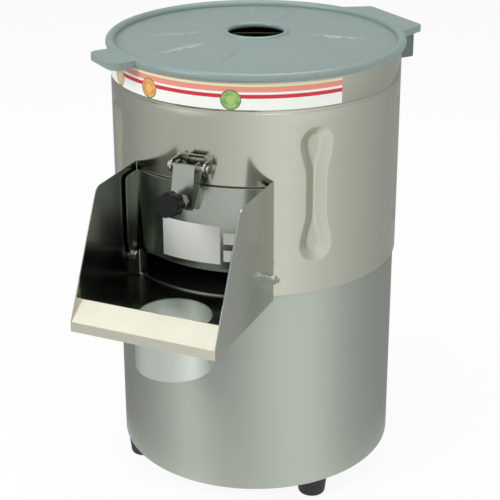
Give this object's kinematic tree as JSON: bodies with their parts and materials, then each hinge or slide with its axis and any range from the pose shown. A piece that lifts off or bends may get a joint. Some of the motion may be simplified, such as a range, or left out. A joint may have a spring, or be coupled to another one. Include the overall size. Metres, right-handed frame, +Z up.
{
  "type": "electric potato peeler",
  "caption": "Counter-top abrasive vegetable peeler: steel drum on a round cabinet, spinning grit disc, front chute with clamped fold-down door, lift-off lid with a feed hole.",
  "frame": {"origin": "on the drum's axis, on the surface that the feet stand on", "axes": "+Z up along the drum's axis, -Y out of the discharge chute, +X to the right seen from the chute's side"},
  "size_m": [0.3709, 0.5327, 0.571],
  "materials": {
    "brushed_sheet": "brushed stainless sheet",
    "polished_sheet": "polished stainless sheet",
    "zinc_steel": "plain turned or zinc-plated steel",
    "lid_plastic": "satin blue-grey plastic",
    "housing_plastic": "satin dark grey plastic",
    "black_plastic": "black moulded plastic",
    "black_rubber": "black rubber",
    "grey_rubber": "dark grey rubber",
    "label_film": "printed film",
    "cast_alloy": "painted casting",
    "alloy": "turned or cast aluminium",
    "copper_pack": "laminations and varnished winding",
    "magnet_black": "sintered magnet",
    "sensor_plastic": "moulded sensor",
    "grit": "bonded grit",
    "start_green": "green moulded plastic",
    "stop_red": "red moulded plastic"
  },
  "bodies": {
    "machine": {"cabinet_shell": "brushed_sheet", "cabinet_back": "brushed_sheet", "base_plate": "brushed_sheet", "rubber_feet": "black_rubber", "foot_bolts": "zinc_steel", "foot_nuts": "zinc_steel", "floor_pan": "brushed_sheet", "drum_shell": "polished_sheet", "lap_screws": "zinc_steel", "label_band": "label_film", "chute_tray": "brushed_sheet", "drop_tube": "brushed_sheet", "hinge_bolts": "zinc_steel", "hinge_spacers": "zinc_steel", "hinge_nuts": "zinc_steel", "strap_lugs": "polished_sheet", "strap_pin": "zinc_steel", "interlock_housing": "housing_plastic", "interlock_sensor": "sensor_plastic", "bearing_housing": "cast_alloy", "housing_bolts": "zinc_steel", "bearing_outer_rings": "zinc_steel", "bearing_balls": "zinc_steel", "shaft_seal": "black_rubber", "drive_belt": "black_rubber", "motor_shell": "alloy", "motor_stator": "copper_pack", "motor_end_bells": "alloy", "motor_bearings": "zinc_steel", "fan_cover": "zinc_steel", "motor_plate": "brushed_sheet", "motor_posts": "zinc_steel", "capacitor": "alloy", "capacitor_clip": "brushed_sheet", "switch_box": "housing_plastic", "switch_blocks": "black_plastic", "cable_gland": "black_plastic"},
    "door": {"door_plate": "brushed_sheet", "door_catch": "zinc_steel", "door_seal": "grey_rubber", "door_labels": "label_film"},
    "clamp": {"clamp_strap": "brushed_sheet", "clamp_nut": "zinc_steel"},
    "pressure_foot": {"clamp_foot": "zinc_steel"},
    "knob": {"clamp_screw": "zinc_steel", "clamp_knob": "black_plastic"},
    "cover": {"lid": "lid_plastic", "lid_magnet": "magnet_black"},
    "spinning_disc": {"disc_plate": "alloy", "abrasive_layer": "grit", "waste_paddles": "brushed_sheet", "disc_nut": "zinc_steel", "main_shaft": "zinc_steel", "bearing_inner_rings": "zinc_steel", "driven_pulley": "alloy"},
    "motor_spindle": {"motor_pulley": "alloy", "motor_rotor": "zinc_steel", "motor_fan": "black_plastic"},
    "start": {"start_button": "start_green"},
    "stop": {"stop_button": "stop_red"}
  },
  "joints": [
    {"name": "lid_lift", "type": "slide", "parent": "machine", "child": "cover", "axis": [0, 0, 1], "range_m": [0, 0.06]},
    {"name": "door_fold", "type": "hinge", "parent": "machine", "child": "door", "pos_m": [0, -0.17832, 0.325], "axis": [1, 0, 0], "range_deg": [0, 80]},
    {"name": "strap_swing", "type": "hinge", "parent": "machine", "child": "clamp", "pos_m": [0, -0.194, 0.455], "axis": [-1, 0, 0], "range_deg": [0, 104]},
    {"name": "foot_travel", "type": "slide", "parent": "clamp", "child": "pressure_foot", "axis": [0, -0.9763, 0.2164], "range_m": [0, 0.00625]},
    {"name": "knob_turn", "type": "hinge", "parent": "pressure_foot", "child": "knob", "pos_m": [0, -0.20222, 0.4179], "axis": [0, -0.9763, 0.2164], "range_deg": [0, 1800]},
    {"name": "disc_spin", "type": "hinge", "parent": "machine", "child": "spinning_disc", "pos_m": [0, 0, 0.3], "axis": [0, 0, 1], "continuous": true},
    {"name": "motor_spin", "type": "hinge", "parent": "machine", "child": "motor_spindle", "pos_m": [0, 0.11, 0.15], "axis": [0, 0, 1], "continuous": true},
    {"name": "start_press", "type": "slide", "parent": "machine", "child": "start", "axis": [0, -1, 0], "range_m": [0, 0.003]},
    {"name": "stop_press", "type": "slide", "parent": "machine", "child": "stop", "axis": [0, -1, 0], "range_m": [0, 0.003]}
  ],
  "couplings": [
    {"joint": "strap_swing", "follows": "door_fold", "ratio": 1.3},
    {"joint": "knob_turn", "follows": "foot_travel", "rad_per_m": 5026.5},
    {"joint": "motor_spin", "follows": "disc_spin", "ratio": 5}
  ]
}
